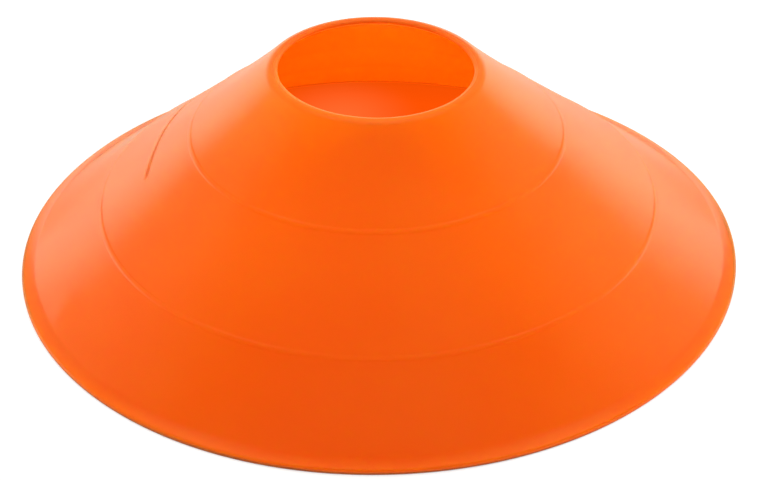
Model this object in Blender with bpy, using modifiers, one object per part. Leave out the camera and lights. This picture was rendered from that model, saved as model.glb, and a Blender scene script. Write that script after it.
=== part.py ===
"""A disc-shaped training cone: one thin moulded shell, open underneath, with a hole in its top.

The shell is a profile turned about the Z axis. The profile runs out over the lip and down the outer
wall, past two raised rings, to the brim. It goes on under the foot and back up the inner wall.
Lengths are in metres. The cone's axis lies on Z, and its foot stands on the plane z = 0.
"""

import math

import bpy

OBJECT_NAME = "training_cone"
SHELL_NAME = "cone_shell"

# Overall sizes
BASE_DIAMETER = 0.190
HEIGHT = 0.0557
OPENING_DIAMETER = 0.0500
WALL = 0.0022

# Lip: the flat land round the opening. Its width runs from the hole to the unrounded outer corner.
LIP_WIDTH = 0.0024
LIP_FILLET_RADIUS = 0.0011
OPENING_EDGE_RADIUS = 0.0005
OPENING_LAND_HEIGHT = 0.0003

# Brim: the flatter band that ends the wall at the base
BRIM_WIDTH = 0.0031
BRIM_HEIGHT = 0.0021
BRIM_FALL = 0.0009
BRIM_EDGE_RADIUS = 0.0008
FOOT_CORNER_RADIUS = 0.0003

# Rings: low beads with a flat top, one at each of the wall's two changes of slope
RING_HEIGHT = 0.0003
RING_TOP_WIDTH = 0.0014
RING_FLANK_WIDTH = 0.0014

# Places of the rings, as shares of the way outwards and downwards from the lip to the brim
RING_OUT_SHARES = (0.327, 0.707)
RING_DOWN_SHARES = (0.345, 0.713)

# How far each run of the wall sags below a straight line, as a share of the run's length
SAG_SHARES = (0.0145, 0.003, 0.010)

# Where a run has points between its ends, as shares of its length
POINT_SHARES = ((0.1, 0.3, 0.5, 0.75), (0.33, 0.67), (0.33, 0.67))

TURN_STEPS = 80
LIP_ARC_STEPS = 4
EDGE_ARC_STEPS = 3
CORNER_ARC_STEPS = 2
MERGE_DISTANCE = 0.00001
SMOOTH_ANGLE = math.radians(35)

SHELL_COLOUR = (0.97, 0.12, 0.003, 1.0)
SHELL_ROUGHNESS = 0.2
SHELL_TRANSLUCENCY = 0.6
SHELL_GLOW_DEPTH = 0.004


def clear_scene():
    for obj in list(bpy.data.objects):
        bpy.data.objects.remove(obj)


def arc(centre, radius, start_angle, end_angle, steps):
    """Points on an arc of the profile. Its angles are measured up from the outward direction."""
    points = []
    for step in range(steps + 1):
        angle = start_angle + (end_angle - start_angle) * step / steps
        points.append((centre[0] + radius * math.cos(angle), centre[1] + radius * math.sin(angle)))
    return points


class Run:
    """A stretch of the outer wall from one corner down to the next, slightly hollow."""

    def __init__(self, start, end, sag_share):
        self.start = start
        self.length = math.dist(start, end)
        self.sag = self.length * sag_share
        self.along = ((end[0] - start[0]) / self.length, (end[1] - start[1]) / self.length)

    def direction(self, distance):
        """The unit vector down the wall at this distance from the start."""
        rise = 4.0 * self.sag / self.length * (1.0 - 2.0 * distance / self.length)
        size = math.hypot(1.0, rise)
        return (self.along[0] + rise * self.along[1]) / size, (self.along[1] - rise * self.along[0]) / size

    def point(self, distance, lift=0.0):
        """The point at this distance from the start, lifted out of the wall by lift."""
        share = distance / self.length
        sag = 4.0 * self.sag * share * (1.0 - share)
        down = self.direction(distance)
        out = self.start[0] + self.along[0] * distance + self.along[1] * sag - down[1] * lift
        up = self.start[1] + self.along[1] * distance - self.along[0] * sag + down[0] * lift
        return out, up


def wall_runs():
    """The outer wall's three runs: lip to upper ring, upper to lower ring, and lower ring to brim."""
    shoulder = (OPENING_DIAMETER / 2.0 + LIP_WIDTH, HEIGHT)
    brim = (BASE_DIAMETER / 2.0 - BRIM_WIDTH, BRIM_HEIGHT)
    corners = [shoulder]
    for out_share, down_share in zip(RING_OUT_SHARES, RING_DOWN_SHARES):
        out = shoulder[0] + (brim[0] - shoulder[0]) * out_share
        up = shoulder[1] + (brim[1] - shoulder[1]) * down_share
        corners.append((out, up))
    corners.append(brim)
    return [Run(start, end, share) for start, end, share in zip(corners, corners[1:], SAG_SHARES)]


def fall_angle(direction):
    """How steeply a direction of the profile falls, as an angle below level."""
    return math.atan2(-direction[1], direction[0])


def fillet_reach(upper_run):
    """How far the lip's outer fillet reaches along the land and along the wall."""
    return LIP_FILLET_RADIUS * math.tan(fall_angle(upper_run.direction(0.0)) / 2.0)


def stations(runs):
    """(run, distance, lift) for each point of the wall between the lip's fillet and the brim."""
    ring_half = RING_TOP_WIDTH / 2.0
    clear = ring_half + RING_FLANK_WIDTH
    last = len(runs) - 1
    found = []
    for index, run in enumerate(runs):
        first_clear = fillet_reach(run) if index == 0 else clear
        last_clear = 0.0 if index == last else clear
        if index > 0:
            found += [(run, ring_half, RING_HEIGHT), (run, clear, 0.0)]
        for share in POINT_SHARES[index]:
            found.append((run, first_clear + (run.length - first_clear - last_clear) * share, 0.0))
        if index < last:
            found += [(run, run.length - clear, 0.0), (run, run.length - ring_half, RING_HEIGHT)]
    return found


def lip_profile(upper_run):
    """The hole's edge, the land and the outer fillet."""
    edge = OPENING_EDGE_RADIUS
    hole = OPENING_DIAMETER / 2.0
    radius = LIP_FILLET_RADIUS
    shoulder = upper_run.start
    edge_centre = (hole + edge, HEIGHT - edge)
    fillet_centre = (shoulder[0] - fillet_reach(upper_run), HEIGHT - radius)
    top = math.pi / 2.0
    fall = fall_angle(upper_run.direction(0.0))
    points = [(hole, HEIGHT - edge - OPENING_LAND_HEIGHT)]
    points += arc(edge_centre, edge, math.pi, top, CORNER_ARC_STEPS)
    points += arc(fillet_centre, radius, top, top - fall, LIP_ARC_STEPS)
    return points


def brim_profile():
    """The brim's top, its rounded rim and the outer corner of the foot."""
    rim = BASE_DIAMETER / 2.0
    fall = math.atan2(BRIM_FALL, BRIM_WIDTH)
    turn = math.pi / 2.0 - fall
    rim_height = BRIM_HEIGHT - BRIM_FALL - BRIM_EDGE_RADIUS * math.tan(turn / 2.0)
    rim_centre = (rim - BRIM_EDGE_RADIUS, rim_height)
    corner_centre = (rim - FOOT_CORNER_RADIUS, FOOT_CORNER_RADIUS)
    points = [(rim - BRIM_WIDTH, BRIM_HEIGHT)]
    points += arc(rim_centre, BRIM_EDGE_RADIUS, turn, 0.0, EDGE_ARC_STEPS)
    points += arc(corner_centre, FOOT_CORNER_RADIUS, 0.0, -math.pi / 2.0, CORNER_ARC_STEPS)
    return points


def inner_profile(runs, wall_stations):
    """The foot's inner edge and the inner wall, which is plain behind the rings, up to the lip."""
    lower = runs[-1]
    out, up = lower.point(lower.length, -WALL)
    foot_edge = (out + up / math.tan(fall_angle(lower.direction(lower.length))), 0.0)
    points = [foot_edge]
    for run, distance, lift in reversed(wall_stations):
        if lift == 0.0:
            points.append(run.point(distance, -WALL))
    points.append(runs[0].point(fillet_reach(runs[0]), -WALL))
    return points


def shell_profile():
    """The closed profile of the shell, as (radius, height) points."""
    runs = wall_runs()
    wall_stations = stations(runs)
    outer = [run.point(distance, lift) for run, distance, lift in wall_stations]
    return lip_profile(runs[0]) + outer + brim_profile() + inner_profile(runs, wall_stations)


def shell_material():
    """Glossy orange plastic that lets some light through."""
    material = bpy.data.materials.new("orange_polyethylene")
    material.use_nodes = True
    shader = material.node_tree.nodes["Principled BSDF"]
    shader.inputs["Base Color"].default_value = SHELL_COLOUR
    shader.inputs["Metallic"].default_value = 0.0
    shader.inputs["Roughness"].default_value = SHELL_ROUGHNESS
    shader.inputs["Subsurface Weight"].default_value = SHELL_TRANSLUCENCY
    shader.inputs["Subsurface Scale"].default_value = SHELL_GLOW_DEPTH
    return material


def cone_shell(collection):
    """Turns the shell's profile about Z."""
    profile = [(out, 0.0, up) for out, up in shell_profile()]
    count = len(profile)
    edges = [(index, (index + 1) % count) for index in range(count)]
    mesh = bpy.data.meshes.new(SHELL_NAME)
    mesh.from_pydata(profile, edges, [])
    mesh.materials.append(shell_material())
    shell = bpy.data.objects.new(SHELL_NAME, mesh)
    collection.objects.link(shell)
    turn = shell.modifiers.new("turn", "SCREW")
    turn.axis = "Z"
    turn.angle = 2.0 * math.pi
    turn.steps = TURN_STEPS
    turn.render_steps = TURN_STEPS
    turn.use_merge_vertices = True
    turn.merge_threshold = MERGE_DISTANCE
    turn.use_smooth_shade = True
    return shell


def shade_by_angle(shell):
    """Applies the turn, then shades the shell smooth with crisp corners at the foot."""
    graph = bpy.context.evaluated_depsgraph_get()
    turned = bpy.data.meshes.new_from_object(shell.evaluated_get(graph))
    shell.modifiers.clear()
    shell.data = turned
    turned.name = SHELL_NAME
    turned.shade_smooth()
    turned.set_sharp_from_angle(angle=SMOOTH_ANGLE)


def main():
    clear_scene()
    collection = bpy.data.collections.new(OBJECT_NAME)
    bpy.context.scene.collection.children.link(collection)
    shell = cone_shell(collection)
    shade_by_angle(shell)


main()
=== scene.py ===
"""The looks of a disc-shaped training cone: one moulded shell of translucent orange plastic.

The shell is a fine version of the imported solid. It has the same profile about the Z axis, with
lower, eased rings and a rounder lip. It is also slightly out of round, and on the left it has a
scored line over its wall and a slight bulge by its brim.
Lengths are in metres. The cone's axis lies on Z, its foot stands on z = 0, and the camera is on
the -Y side.
"""

import math

import bpy
from mathutils import Matrix, Vector

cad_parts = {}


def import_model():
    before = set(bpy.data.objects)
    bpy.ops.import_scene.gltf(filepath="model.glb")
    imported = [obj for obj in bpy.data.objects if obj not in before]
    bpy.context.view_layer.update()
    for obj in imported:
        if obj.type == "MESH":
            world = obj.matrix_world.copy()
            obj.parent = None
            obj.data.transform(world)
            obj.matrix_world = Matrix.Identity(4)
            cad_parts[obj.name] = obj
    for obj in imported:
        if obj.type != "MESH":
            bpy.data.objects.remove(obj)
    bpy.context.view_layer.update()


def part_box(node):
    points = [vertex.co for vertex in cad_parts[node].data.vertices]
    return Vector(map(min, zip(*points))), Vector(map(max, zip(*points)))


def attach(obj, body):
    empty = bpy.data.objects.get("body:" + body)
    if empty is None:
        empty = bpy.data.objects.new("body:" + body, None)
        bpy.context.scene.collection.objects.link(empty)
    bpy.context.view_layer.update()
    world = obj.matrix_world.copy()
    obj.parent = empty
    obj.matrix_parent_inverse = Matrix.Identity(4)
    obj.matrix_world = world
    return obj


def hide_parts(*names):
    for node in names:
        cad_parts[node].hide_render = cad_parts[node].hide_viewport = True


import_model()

CAD_NODE = "cone_shell"
BODY = "root"

# The mesh attribute that says how much each point is darkened, from 0 to 1: on the scored line,
# and by painted shade on the lip towards the hole
MARK_AND_SHADE = "mark_and_shade_tone"

# Overall sizes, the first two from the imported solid
BASE_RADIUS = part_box(CAD_NODE)[1].x
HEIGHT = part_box(CAD_NODE)[1].z
OPENING_RADIUS = 0.0250
WALL = 0.0022

# Lip round the opening: a rounded crown, a little darker towards the hole, which is painted shade.
# The width runs from the hole to the unrounded outer corner.
LIP_WIDTH = 0.0024
LIP_CROWN_RADIUS = 0.0030
OPENING_EDGE_RADIUS = 0.0005
OPENING_LAND_HEIGHT = 0.0003
OPENING_EDGE_SHADE = 0.5
OPENING_SHADE_WIDTH = 0.0022

# Brim and foot
BRIM_WIDTH = 0.0031
BRIM_HEIGHT = 0.0021
BRIM_FALL = 0.0009
BRIM_EDGE_RADIUS = 0.0008
FOOT_CORNER_RADIUS = 0.0003

# Rings: low beads with eased flanks, at the wall's two changes of slope. Their places are shares of
# the way outwards and downwards from the lip to the brim. Between them each run of the wall sags
# below a straight line by a share of its length.
RING_HEIGHT = 0.00010
RING_TOP_WIDTH = 0.0005
RING_FLANK_WIDTH = 0.0006
RING_OUT_SHARES = (0.3275, 0.707)
RING_DOWN_SHARES = (0.345, 0.713)
SAG_SHARES = (0.0145, 0.003, 0.010)

# Out of round: the room by which the base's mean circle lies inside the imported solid's, then how many
# waves go round the base, how far each swells it, and the azimuth of a crest. The waves fade towards
# the lip, which is a little oval and stands a little to the left.
ROUND_ROOM = 0.0004
BASE_WAVES = (
    (3, 0.00038, math.radians(9.6)),
    (4, 0.00026, math.radians(17.2)),
    (5, 0.00011, math.radians(24.6)),
)
LIP_OVAL = (2, 0.0004, math.radians(-45.0))
LIP_SHIFT = -0.00014

# Scored line: seen from above it is a nearly straight line beside the axis, slightly bowed round
# it. Places on it are measured along it from its middle, which is nearly its nearest point to the
# axis. It fades over a length at each end. The bow is per metre. The mesh rows follow the line up to
# the held turn, and ease back to a circle of the rest radius over the rest turn.
SCORE_AZIMUTH = math.radians(166.4)
SCORE_DISTANCE = 0.0581
SCORE_BOW = 3.33
SCORE_FROM = -0.0260
SCORE_TO = 0.0228
SCORE_FADES = (0.0060, 0.0030)
SCORE_DEPTH = 0.00002
SCORE_HALF_WIDTH = 0.00080
SCORE_SHARPNESS = 3.0
SCORE_HELD_TURN = math.radians(28.0)
SCORE_REST_RADIUS = 0.060
SCORE_REST_TURN = math.radians(60.0)

# A slight bulge by the brim on the left: azimuth, distance from the axis, and how far it reaches
# before, after and across that place. It fades out above the foot.
BULGE_AZIMUTH = math.radians(204.0)
BULGE_RADIUS = 0.0885
BULGE_REACH = (0.0050, 0.0070, 0.0035)
BULGE_HEIGHT = 0.00025
BULGE_FOOT = 0.0030

# Mesh steps: round the axis, along the plain wall, over a ring and its flanks, beside and across
# the scored line, and round the lip, the brim and the corners. The line lies on the middle run.
SCORED_RUN = 1
SMOOTH_ANGLE = math.radians(40.0)
TURN_STEPS = 360
PLAIN_STEP = 0.0011
FLANK_STEPS = 8
RING_HALF_STEPS = 2
SCORE_SIDE_STEPS = 13
SCORE_STEPS = 8
CROWN_STEPS = 16
BRIM_STEPS = 10
CORNER_STEPS = 4

# Camera: a level distance from the axis, a height, where it looks, and its lens
CAMERA_BACK = 0.50695
CAMERA_HEIGHT = 0.33846
CAMERA_PITCH = 0.5849
CAMERA_YAW = 0.0010
CAMERA_ROLL = 0.0101
CAMERA_LENS = 108.04
CAMERA_CLIP = (0.01, 100.0)
SENSOR_WIDTH = 36.0

# Plastic, and how it looks where it is marked: on the scored line, and in the painted shade on the lip
SHELL_COLOUR = (0.97, 0.12, 0.003, 1.0)
SHELL_PALE_COLOUR = (0.98, 0.132, 0.004, 1.0)
MARK_AND_SHADE_COLOUR = (0.53, 0.115, 0.016, 1.0)
MARK_ROUGHNESS = 0.4
MARK_SHINE = (0.5, 0.2)
SHELL_IOR = 1.5

# Moulded surface: the scale of each pattern, the part of it that is used, and what it does to
# tone, roughness and height
FLOW_SCALE = 26.0
FLOW_REACH = (0.35, 0.65)
HAZE_SCALE = 70.0
HAZE_REACH = (0.3, 0.7)
HAZE_ROUGHNESS = (0.135, 0.175)
GRAIN_SCALE = 1400.0
GRAIN_STRENGTH = 0.25
GRAIN_HEIGHT = 0.00002

# How light goes through it: how deep, the share of that depth for red, green and blue, and less of
# it towards the top of the lip
GLOW_DEPTH = 0.015
GLOW_SHARES = (1.0, 0.8, 0.05)
LIP_GLOW_REACH = (HEIGHT - 0.0016, HEIGHT - 0.0003)
LIP_GLOW = (1.0, 0.45)

# Studio: levels by height of direction, from the horizon at 0 to straight up at 1. Its front is
# dimmer. The camera sees it at a level where its weakest colour is full, which is white.
STUDIO_LEVELS = (
    (0.0, 1.3), (0.15, 1.3), (0.25, 0.97), (0.33, 0.40), (0.5, 0.32), (0.6, 0.31),
    (0.76, 0.2), (0.9, 0.45), (1.0, 0.25),
)
STUDIO_COLOUR = (1.0, 1.0, 0.8, 1.0)
STUDIO_FRONT_REACH = (-0.25, 0.35)
STUDIO_FRONT_LEVELS = (0.25, 1.0)
STUDIO_SEEN_LEVEL = 1.0 / min(STUDIO_COLOUR)
WHITE = (1.0, 1.0, 1.0, 1.0)

# Floor: levels by distance from the axis, as shares of a span. Near the cone its mirror image is
# darker, a painted shadow, and warmer, painted orange light from the shell. Under the cone it has a
# painted glow for the light that comes through the plastic, with a painted shadow line just inside
# the foot. The spot is a painted pool of light where light falls straight down through the hole, and
# the pool is a painted pool of light where light falls through it from the front.
AXIS_PLACE = (0.0, 0.0, 0.0)
FLOOR_REACH = 6.0
FLOOR_COLOUR = (0.6, 0.6, 0.6, 1.0)
FLOOR_LIFT = 0.44
FLOOR_MIRRORED_SPAN = 0.6
# What reflections see: darker near the cone, a painted shadow, and warmer, painted orange light from the
# shell
FLOOR_MIRRORED_SHADED_LEVELS = ((0.16, 0.76), (0.2, 0.77), (0.28, 0.84), (1.0, 1.12))
FLOOR_MIRRORED_GLOW_COLOUR = (1.0, 0.82, 0.6, 1.0)
FLOOR_MIRRORED_GLOW_REACH = (0.12, 0.18)
UNDER_GLOW_COLOUR = (1.0, 0.086, 0.001, 1.0)
UNDER_RADIUS = 0.0935
UNDER_SPAN = 0.1
# Painted shadow line: the dip of the glow just inside the foot
UNDER_GLOW_LEVELS = ((0.0, 1.0), (0.78, 1.0), (0.905, 0.92), (0.915, 0.9), (0.93, 1.5))
SPOT_COLOUR = (1.0, 0.8, 0.5, 1.0)
SPOT_REACH = (0.03, 0.06)
SPOT_LEVELS = (0.55, 0.0)
POOL_PLACE = (-0.010, 0.070, 0.0)
POOL_RADIUS = 0.025
POOL_COLOUR = (1.0, 0.75, 0.33, 1.0)
POOL_LEVEL = 0.075

# Lamps: name, place, size and power
LAMPS = (
    ("lamp_overhead", (0.0, 0.05, 1.1), 0.8, 10.5),
    ("lamp_left", (-0.9, 0.35, 0.2), 0.3, 4.5),
    ("lamp_right", (0.9, 0.35, 0.2), 0.3, 7.5),
)


def arc(centre, radius, start_angle, end_angle, steps):
    """Points on an arc of the profile. Its angles are measured up from the outward direction."""
    points = []
    for step in range(steps + 1):
        angle = start_angle + (end_angle - start_angle) * step / steps
        points.append((centre[0] + radius * math.cos(angle), centre[1] + radius * math.sin(angle)))
    return points


def ease(share):
    """A smooth step from 0 to 1."""
    share = max(0.0, min(1.0, share))
    return share * share * (3.0 - 2.0 * share)


class Run:
    """A stretch of the outer wall from one corner down to the next, slightly hollow."""

    def __init__(self, index, start, end, sag_share):
        self.index = index
        self.start = start
        self.length = math.dist(start, end)
        self.sag = self.length * sag_share
        self.along = ((end[0] - start[0]) / self.length, (end[1] - start[1]) / self.length)

    def direction(self, distance):
        """The unit vector down the wall at this distance from the start."""
        rise = 4.0 * self.sag / self.length * (1.0 - 2.0 * distance / self.length)
        size = math.hypot(1.0, rise)
        out = self.along[0] + rise * self.along[1]
        up = self.along[1] - rise * self.along[0]
        return out / size, up / size

    def point(self, distance, lift=0.0):
        """The point at this distance from the start, lifted out of the wall by lift."""
        share = distance / self.length
        sag = 4.0 * self.sag * share * (1.0 - share)
        down = self.direction(distance)
        out = self.start[0] + self.along[0] * distance + self.along[1] * sag - down[1] * lift
        up = self.start[1] + self.along[1] * distance - self.along[0] * sag + down[0] * lift
        return out, up


def wall_runs():
    """The outer wall's three runs: lip to upper ring, upper to lower ring, and lower ring to brim."""
    shoulder = (OPENING_RADIUS + LIP_WIDTH, HEIGHT)
    brim = (BASE_RADIUS - BRIM_WIDTH, BRIM_HEIGHT)
    corners = [shoulder]
    for out_share, down_share in zip(RING_OUT_SHARES, RING_DOWN_SHARES):
        out = shoulder[0] + (brim[0] - shoulder[0]) * out_share
        up = shoulder[1] + (brim[1] - shoulder[1]) * down_share
        corners.append((out, up))
    corners.append(brim)
    spans = zip(corners, corners[1:], SAG_SHARES)
    return [Run(index, start, end, share) for index, (start, end, share) in enumerate(spans)]


def fall_angle(direction):
    """How steeply a direction of the profile falls, as an angle below level."""
    return math.atan2(-direction[1], direction[0])


def crown_reach(upper_run):
    """How far the lip's crown reaches down the wall, and as far inwards from the unrounded corner."""
    return LIP_CROWN_RADIUS * math.tan(fall_angle(upper_run.direction(0.0)) / 2.0)


def spaced(start, end, steps):
    """Even places from start to end, both included."""
    return [start + (end - start) * step / steps for step in range(steps + 1)]


def score_turn(azimuth):
    """How far round an azimuth lies from the scored line's nearest point to the axis."""
    return math.remainder(azimuth - SCORE_AZIMUTH, 2.0 * math.pi)


def bowed_radius(turn):
    """The distance from the axis of the scored line's curve, at this turn from its middle."""
    across = math.cos(turn)
    bow = 4.0 * SCORE_BOW * SCORE_DISTANCE * math.sin(turn) ** 2
    return 2.0 * SCORE_DISTANCE / (across + math.sqrt(across * across + bow))


def score_radius(azimuth):
    """The scored line's distance from the axis. Past its ends the mesh rows ease back to a circle."""
    turn = score_turn(azimuth)
    held = max(-SCORE_HELD_TURN, min(SCORE_HELD_TURN, turn))
    radius = bowed_radius(held)
    return radius + (SCORE_REST_RADIUS - radius) * ease(abs(turn - held) / SCORE_REST_TURN)


def score_share(azimuth):
    """How deep the scored line is at an azimuth, from 0 where there is none to 1."""
    turn = score_turn(azimuth)
    if abs(turn) > SCORE_HELD_TURN:
        return 0.0
    place = bowed_radius(turn) * math.sin(turn)
    first_fade, last_fade = SCORE_FADES
    return ease((place - SCORE_FROM) / first_fade) * ease((SCORE_TO - place) / last_fade)


def ring_lift(run, distance, last):
    """How far a ring stands proud here. A run has one at each end, but not at the lip or the brim."""
    ends = []
    if run.index > 0:
        ends.append(distance)
    if run.index < last:
        ends.append(run.length - distance)
    nearest = min(ends)
    return RING_HEIGHT * ease((RING_TOP_WIDTH / 2.0 + RING_FLANK_WIDTH - nearest) / RING_FLANK_WIDTH)


class Row:
    """One row of the outer wall: its point, its darker tone, and its twin on the inner wall if any."""

    def __init__(self, run, distance, lift=0.0, tone=0.0, twinned=True):
        self.outer = run.point(distance, lift)
        self.inner = run.point(distance, -WALL)
        self.tone = tone
        self.twinned = twinned


def plain_rows(run, first, final, steps):
    """Even rows after first, up to and including final."""
    return [Row(run, place) for place in spaced(first, final, steps)[1:]]


def ring_rows(run, places, last):
    """Rows at these places on a ring. The inner wall is plain behind them."""
    return [Row(run, place, ring_lift(run, place, last), twinned=False) for place in places]


def scored_rows(run, first, final, azimuth):
    """The middle run's rows, with those of the scored line among them."""
    middle = (score_radius(azimuth) - run.start[0]) / run.along[0]
    share = score_share(azimuth)
    rows = plain_rows(run, first, middle - SCORE_HALF_WIDTH, SCORE_SIDE_STEPS)
    for place in spaced(-1.0, 1.0, SCORE_STEPS)[1:-1]:
        cut = share * ease(SCORE_SHARPNESS * (1.0 - abs(place)))
        rows.append(Row(run, middle + place * SCORE_HALF_WIDTH, -SCORE_DEPTH * cut, cut, twinned=False))
    rows.append(Row(run, middle + SCORE_HALF_WIDTH))
    return rows + plain_rows(run, middle + SCORE_HALF_WIDTH, final, SCORE_SIDE_STEPS)


def wall_rows(runs, azimuth):
    """The outer wall's rows between the lip's crown and the brim, at one azimuth.

    The brim's own profile starts at the foot of the last run, so that row is left to it.
    """
    half = RING_TOP_WIDTH / 2.0
    clear = half + RING_FLANK_WIDTH
    last = len(runs) - 1
    rows = []
    for run in runs:
        first = crown_reach(run) if run.index == 0 else clear
        final = run.length if run.index == last else run.length - clear
        if run.index > 0:
            rows += ring_rows(run, spaced(0.0, half, RING_HALF_STEPS)[1:], last)
            rows += ring_rows(run, spaced(half, clear, FLANK_STEPS)[1:], last)
        if run.index == SCORED_RUN:
            rows += scored_rows(run, first, final, azimuth)
        else:
            rows += plain_rows(run, first, final, round((final - first) / PLAIN_STEP))
        if run.index < last:
            rows += ring_rows(run, spaced(final, run.length - half, FLANK_STEPS)[1:], last)
            rows += ring_rows(run, spaced(run.length - half, run.length, RING_HALF_STEPS)[1:], last)
    return rows[:-1]


def lip_profile(upper_run):
    """The hole's rounded edge and the lip's crown."""
    edge = OPENING_EDGE_RADIUS
    radius = LIP_CROWN_RADIUS
    crown_centre = (upper_run.start[0] - crown_reach(upper_run), HEIGHT - radius)
    meet = math.acos((OPENING_RADIUS + edge - crown_centre[0]) / (radius - edge))
    edge_centre = (OPENING_RADIUS + edge, crown_centre[1] + (radius - edge) * math.sin(meet))
    fall = fall_angle(upper_run.direction(0.0))
    points = [(OPENING_RADIUS, edge_centre[1] - OPENING_LAND_HEIGHT)]
    points += arc(edge_centre, edge, math.pi, meet, CORNER_STEPS)
    points += arc(crown_centre, radius, meet, math.pi / 2.0 - fall, CROWN_STEPS)[1:]
    return points


def edge_shade(out):
    """How much painted shade darkens the lip at this distance from the axis."""
    return OPENING_EDGE_SHADE * ease(1.0 - (out - OPENING_RADIUS) / OPENING_SHADE_WIDTH)


def brim_profile():
    """The brim's top, its rounded rim and the outer corner of the foot."""
    fall = math.atan2(BRIM_FALL, BRIM_WIDTH)
    turn = math.pi / 2.0 - fall
    rim_height = BRIM_HEIGHT - BRIM_FALL - BRIM_EDGE_RADIUS * math.tan(turn / 2.0)
    rim_centre = (BASE_RADIUS - BRIM_EDGE_RADIUS, rim_height)
    corner_centre = (BASE_RADIUS - FOOT_CORNER_RADIUS, FOOT_CORNER_RADIUS)
    points = [(BASE_RADIUS - BRIM_WIDTH, BRIM_HEIGHT)]
    points += arc(rim_centre, BRIM_EDGE_RADIUS, turn, 0.0, BRIM_STEPS)
    points += arc(corner_centre, FOOT_CORNER_RADIUS, 0.0, -math.pi / 2.0, CORNER_STEPS)
    return points


def inner_profile(runs, rows):
    """The foot's inner edge and the inner wall, which is plain behind the rings, up to the lip."""
    lower = runs[-1]
    out, up = lower.point(lower.length, -WALL)
    foot_edge = (out + up / math.tan(fall_angle(lower.direction(lower.length))), 0.0)
    twins = [row.inner for row in reversed(rows) if row.twinned]
    return [foot_edge] + twins + [runs[0].point(crown_reach(runs[0]), -WALL)]


def shell_profile(runs, azimuth):
    """The closed profile of the shell at one azimuth, as (radius, height, tone) points."""
    rows = wall_rows(runs, azimuth)
    # The lip's tone is painted shade towards the hole
    lip = [(out, up, edge_shade(out)) for out, up in lip_profile(runs[0])]
    wall = [(row.outer[0], row.outer[1], row.tone) for row in rows]
    rest = [(out, up, 0.0) for out, up in brim_profile() + inner_profile(runs, rows)]
    return lip + wall + rest


def shell_material():
    """Glossy orange plastic that lets light through, faintly uneven in tone and gloss.

    Where it is marked, on the scored line and in the painted shade on the lip, it is darker and duller.
    """
    material = bpy.data.materials.new("orange_polyethylene")
    material.use_nodes = True
    tree = material.node_tree
    shader = tree.nodes["Principled BSDF"]
    shader.inputs["IOR"].default_value = SHELL_IOR
    shader.inputs["Subsurface Radius"].default_value = GLOW_SHARES
    shader.inputs["Subsurface Scale"].default_value = GLOW_DEPTH
    here = tree.nodes.new("ShaderNodeTexCoord").outputs["Object"]
    split = tree.nodes.new("ShaderNodeSeparateXYZ")
    tree.links.new(here, split.inputs[0])
    inner_light = mapped(tree, split.outputs["Z"], LIP_GLOW_REACH, LIP_GLOW)
    tree.links.new(inner_light, shader.inputs["Subsurface Weight"])
    flow = mapped(tree, noise(tree, here, FLOW_SCALE), FLOW_REACH, (0.0, 1.0))
    plain = blended(tree, "RGBA", flow, SHELL_COLOUR, SHELL_PALE_COLOUR)
    mark_and_shade_node = tree.nodes.new("ShaderNodeAttribute")
    mark_and_shade_node.attribute_name = MARK_AND_SHADE
    tone = mark_and_shade_node.outputs["Fac"]
    # Darker on the scored line, and with painted shade on the lip
    marked_and_shaded = blended(tree, "RGBA", tone, plain, MARK_AND_SHADE_COLOUR)
    tree.links.new(marked_and_shaded, shader.inputs["Base Color"])
    haze = mapped(tree, noise(tree, here, HAZE_SCALE), HAZE_REACH, HAZE_ROUGHNESS)
    shine = mapped(tree, tone, (0.0, 1.0), MARK_SHINE)
    tree.links.new(shine, shader.inputs["Specular IOR Level"])
    dulled = product(tree, tone, MARK_ROUGHNESS)
    tree.links.new(computed(tree, "ADD", haze, dulled), shader.inputs["Roughness"])
    bump = tree.nodes.new("ShaderNodeBump")
    bump.inputs["Strength"].default_value = GRAIN_STRENGTH
    bump.inputs["Distance"].default_value = GRAIN_HEIGHT
    tree.links.new(noise(tree, here, GRAIN_SCALE), bump.inputs["Height"])
    tree.links.new(bump.outputs["Normal"], shader.inputs["Normal"])
    return material


def out_of_round(azimuth, up):
    """How far the real shell lies outside a true circle at this azimuth and height."""
    share = up / HEIGHT
    swell = -ROUND_ROOM * (1.0 - share)
    for waves, size, crest in BASE_WAVES:
        swell += size * math.cos(waves * (azimuth - crest)) * (1.0 - share)
    waves, size, crest = LIP_OVAL
    return swell + size * math.cos(waves * (azimuth - crest)) * share


def bulge_lift(azimuth, out, up):
    """How far the bulge by the brim raises a place on the shell."""
    turn = math.remainder(azimuth - BULGE_AZIMUTH, 2.0 * math.pi)
    before, after, side = BULGE_REACH
    along = out * turn / (before if turn < 0.0 else after)
    across = (out - BULGE_RADIUS) / side
    share = math.exp(-along * along - across * across) * ease(up / BULGE_FOOT)
    return BULGE_HEIGHT * share


def moulded_point(azimuth, out, up):
    """Where a point of the profile really lies at this azimuth."""
    radius = out + out_of_round(azimuth, up)
    across = radius * math.cos(azimuth) + LIP_SHIFT * up / HEIGHT
    return across, radius * math.sin(azimuth), up + bulge_lift(azimuth, out, up)


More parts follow.
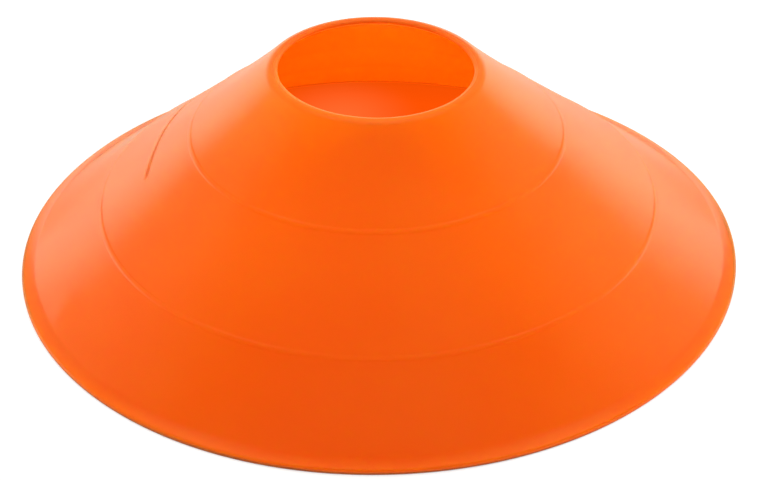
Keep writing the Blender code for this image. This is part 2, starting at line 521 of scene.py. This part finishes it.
def shell_piece():
    """The moulded shell, built azimuth by azimuth. Each point carries the tone of the scored line and of
    the painted shade on the lip.
    """
    runs = wall_runs()
    vertices = []
    tones = []
    for step in range(TURN_STEPS):
        azimuth = 2.0 * math.pi * step / TURN_STEPS
        profile = shell_profile(runs, azimuth)
        vertices += [moulded_point(azimuth, out, up) for out, up, tone in profile]
        tones += [tone for out, up, tone in profile]
    count = len(profile)
    faces = []
    for step in range(TURN_STEPS):
        here, beside = step * count, (step + 1) % TURN_STEPS * count
        for row in range(count):
            below = (row + 1) % count
            faces.append((here + row, here + below, beside + below, beside + row))
    mesh = bpy.data.meshes.new("moulded_shell")
    mesh.from_pydata(vertices, [], faces)
    mesh.attributes.new(MARK_AND_SHADE, "FLOAT", "POINT").data.foreach_set("value", tones)
    mesh.update()
    mesh.shade_smooth()
    mesh.set_sharp_from_angle(angle=SMOOTH_ANGLE)
    mesh.materials.append(shell_material())
    shell = bpy.data.objects.new("moulded_shell", mesh)
    bpy.context.scene.collection.objects.link(shell)
    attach(shell, BODY)
    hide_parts(CAD_NODE)


def camera():
    """The camera, turned by its pitch, yaw and roll from a level look along +Y."""
    data = bpy.data.cameras.new("camera")
    data.lens = CAMERA_LENS
    data.sensor_width = SENSOR_WIDTH
    data.clip_start, data.clip_end = CAMERA_CLIP
    forward = Vector((
        math.sin(CAMERA_YAW) * math.cos(CAMERA_PITCH),
        math.cos(CAMERA_YAW) * math.cos(CAMERA_PITCH),
        -math.sin(CAMERA_PITCH),
    ))
    right = forward.cross(Vector((0.0, 0.0, 1.0))).normalized()
    down = forward.cross(right)
    across = right * math.cos(CAMERA_ROLL) + down * math.sin(CAMERA_ROLL)
    upright = right * math.sin(CAMERA_ROLL) - down * math.cos(CAMERA_ROLL)
    turn = Matrix((across, upright, -forward)).transposed().to_4x4()
    made = bpy.data.objects.new("camera", data)
    made.matrix_world = Matrix.Translation((0.0, -CAMERA_BACK, CAMERA_HEIGHT)) @ turn
    bpy.context.scene.collection.objects.link(made)
    bpy.context.scene.camera = made


def feed(tree, source, socket):
    """Gives a socket its source, which is another socket, or a plain number or colour."""
    if isinstance(source, bpy.types.NodeSocket):
        tree.links.new(source, socket)
    else:
        socket.default_value = source


def mapped(tree, source, places, levels):
    """A Map Range node that eases source from one pair of places to a pair of levels."""
    node = tree.nodes.new("ShaderNodeMapRange")
    node.interpolation_type = "SMOOTHSTEP"
    node.inputs["From Min"].default_value, node.inputs["From Max"].default_value = places
    node.inputs["To Min"].default_value, node.inputs["To Max"].default_value = levels
    tree.links.new(source, node.inputs["Value"])
    return node.outputs["Result"]


def ramp(tree, source, levels, interpolation):
    """A Color Ramp node used for grey levels at places from 0 to 1."""
    node = tree.nodes.new("ShaderNodeValToRGB")
    node.color_ramp.interpolation = interpolation
    stops = node.color_ramp.elements
    for index, (place, level) in enumerate(levels):
        stop = stops[index] if index < len(stops) else stops.new(place)
        stop.position = place
        stop.color = (level, level, level, 1.0)
    tree.links.new(source, node.inputs["Fac"])
    return node.outputs["Color"]


def noise(tree, source, scale):
    """A Noise Texture's value over the coordinates in source."""
    node = tree.nodes.new("ShaderNodeTexNoise")
    node.inputs["Scale"].default_value = scale
    tree.links.new(source, node.inputs["Vector"])
    return node.outputs["Fac"]


def blended(tree, kind, share, first, second):
    """A Mix node from one source to another. Its kind is FLOAT or RGBA."""
    node = tree.nodes.new("ShaderNodeMix")
    node.data_type = kind
    tree.links.new(share, node.inputs["Factor"])
    feed(tree, first, node.inputs["A"])
    feed(tree, second, node.inputs["B"])
    return node.outputs["Result"]


def computed(tree, operation, first, second):
    """A Math node on two sources."""
    node = tree.nodes.new("ShaderNodeMath")
    node.operation = operation
    feed(tree, first, node.inputs[0])
    feed(tree, second, node.inputs[1])
    return node.outputs[0]


def product(tree, first, second):
    """The product of two sources."""
    return computed(tree, "MULTIPLY", first, second)


def distance_from(tree, place):
    """How far a point of the floor lies from place."""
    here = tree.nodes.new("ShaderNodeTexCoord")
    node = tree.nodes.new("ShaderNodeVectorMath")
    node.operation = "DISTANCE"
    node.inputs[1].default_value = place
    tree.links.new(here.outputs["Object"], node.inputs[0])
    return node.outputs["Value"]


def emission(tree, colour, strength):
    """An Emission of one source's colour at another's strength."""
    node = tree.nodes.new("ShaderNodeEmission")
    feed(tree, colour, node.inputs["Color"])
    feed(tree, strength, node.inputs["Strength"])
    return node.outputs[0]


def added(tree, first, second):
    """Two shaders, one on top of the other."""
    node = tree.nodes.new("ShaderNodeAddShader")
    tree.links.new(first, node.inputs[0])
    tree.links.new(second, node.inputs[1])
    return node.outputs[0]


def mixed(tree, share, first, second):
    """The first shader where share is 0, and the second where it is 1."""
    node = tree.nodes.new("ShaderNodeMixShader")
    tree.links.new(share, node.inputs["Fac"])
    tree.links.new(first, node.inputs[1])
    tree.links.new(second, node.inputs[2])
    return node.outputs[0]


def open_floor(tree, path, from_axis):
    """The floor outside the shell: grey with the shell's shadow, and lifted to white for the camera.

    Reflections see it at levels of its own, with a painted shadow and painted orange light from the shell
    near it.
    """
    diffuse = tree.nodes.new("ShaderNodeBsdfDiffuse")
    diffuse.inputs["Color"].default_value = FLOOR_COLOUR
    lift = emission(tree, WHITE, product(tree, path.outputs["Is Camera Ray"], FLOOR_LIFT))
    far_share = product(tree, from_axis, 1.0 / FLOOR_MIRRORED_SPAN)
    # Painted shadow and painted orange light from the shell near it, in what reflections see
    level = ramp(tree, far_share, FLOOR_MIRRORED_SHADED_LEVELS, "LINEAR")
    plain_share = mapped(tree, from_axis, FLOOR_MIRRORED_GLOW_REACH, (0.0, 1.0))
    colour = blended(tree, "RGBA", plain_share, FLOOR_MIRRORED_GLOW_COLOUR, STUDIO_COLOUR)
    lifted = added(tree, diffuse.outputs[0], lift)
    return mixed(tree, path.outputs["Is Glossy Ray"], lifted, emission(tree, colour, level))


def under_floor(tree, path, from_axis):
    """The floor under the shell, with a painted glow for the light that comes through the plastic.

    It has painted pools of paler light where light falls through the hole, and a painted shadow line just
    inside the foot.
    """
    under_share = product(tree, from_axis, 1.0 / UNDER_SPAN)
    # Painted glow for the light through the plastic, with its painted shadow line
    glow = emission(tree, UNDER_GLOW_COLOUR, ramp(tree, under_share, UNDER_GLOW_LEVELS, "LINEAR"))
    # Painted pools of light through the hole
    spot = emission(tree, SPOT_COLOUR, mapped(tree, from_axis, SPOT_REACH, SPOT_LEVELS))
    pool_level = mapped(tree, distance_from(tree, POOL_PLACE), (0.0, POOL_RADIUS), (POOL_LEVEL, 0.0))
    pool = emission(tree, POOL_COLOUR, product(tree, path.outputs["Is Camera Ray"], pool_level))
    return added(tree, added(tree, glow, spot), pool)


def floor_material():
    """The floor under the shell and, past the shell's edge, the open floor."""
    material = bpy.data.materials.new("pale_floor")
    material.use_nodes = True
    tree = material.node_tree
    tree.nodes.clear()
    path = tree.nodes.new("ShaderNodeLightPath")
    from_axis = distance_from(tree, AXIS_PLACE)
    outside = computed(tree, "GREATER_THAN", from_axis, UNDER_RADIUS)
    hidden = under_floor(tree, path, from_axis)
    shown = open_floor(tree, path, from_axis)
    out = tree.nodes.new("ShaderNodeOutputMaterial")
    tree.links.new(mixed(tree, outside, hidden, shown), out.inputs["Surface"])
    return material


def floor():
    """A wide pale floor, which the camera and the reflections see nearly white."""
    mesh = bpy.data.meshes.new("floor")
    far = FLOOR_REACH
    corners = [(-far, -far, 0.0), (far, -far, 0.0), (far, far, 0.0), (-far, far, 0.0)]
    mesh.from_pydata(corners, [], [(0, 1, 2, 3)])
    mesh.materials.append(floor_material())
    made = bpy.data.objects.new("floor", mesh)
    bpy.context.scene.collection.objects.link(made)


def world():
    """The studio round the object: white at the horizon and darker overhead. The camera sees it white."""
    made = bpy.data.worlds.new("studio")
    bpy.context.scene.world = made
    made.use_nodes = True
    tree = made.node_tree
    tree.nodes.clear()
    place = tree.nodes.new("ShaderNodeTexCoord")
    split = tree.nodes.new("ShaderNodeSeparateXYZ")
    tree.links.new(place.outputs["Generated"], split.inputs[0])
    by_height = ramp(tree, split.outputs["Z"], STUDIO_LEVELS, "EASE")
    by_side = mapped(tree, split.outputs["Y"], STUDIO_FRONT_REACH, STUDIO_FRONT_LEVELS)
    level = product(tree, by_height, by_side)
    seen = tree.nodes.new("ShaderNodeLightPath").outputs["Is Camera Ray"]
    strength = blended(tree, "FLOAT", seen, level, STUDIO_SEEN_LEVEL)
    back = tree.nodes.new("ShaderNodeBackground")
    back.inputs["Color"].default_value = STUDIO_COLOUR
    tree.links.new(strength, back.inputs["Strength"])
    out = tree.nodes.new("ShaderNodeOutputWorld")
    tree.links.new(back.outputs[0], out.inputs["Surface"])


def lamp(name, place, size, power):
    """A broad soft lamp that faces the object. It gives no highlight of its own."""
    data = bpy.data.lights.new(name, "AREA")
    data.shape = "DISK"
    data.size = size
    data.energy = power
    made = bpy.data.objects.new(name, data)
    made.location = place
    made.rotation_euler = (-Vector(place)).to_track_quat("-Z", "Y").to_euler()
    made.visible_glossy = False
    made.visible_camera = False
    bpy.context.scene.collection.objects.link(made)


bpy.context.scene.view_settings.view_transform = "Standard"
shell_piece()
floor()
world()
for lamp_name, lamp_place, lamp_size, lamp_power in LAMPS:
    lamp(lamp_name, lamp_place, lamp_size, lamp_power)
camera()
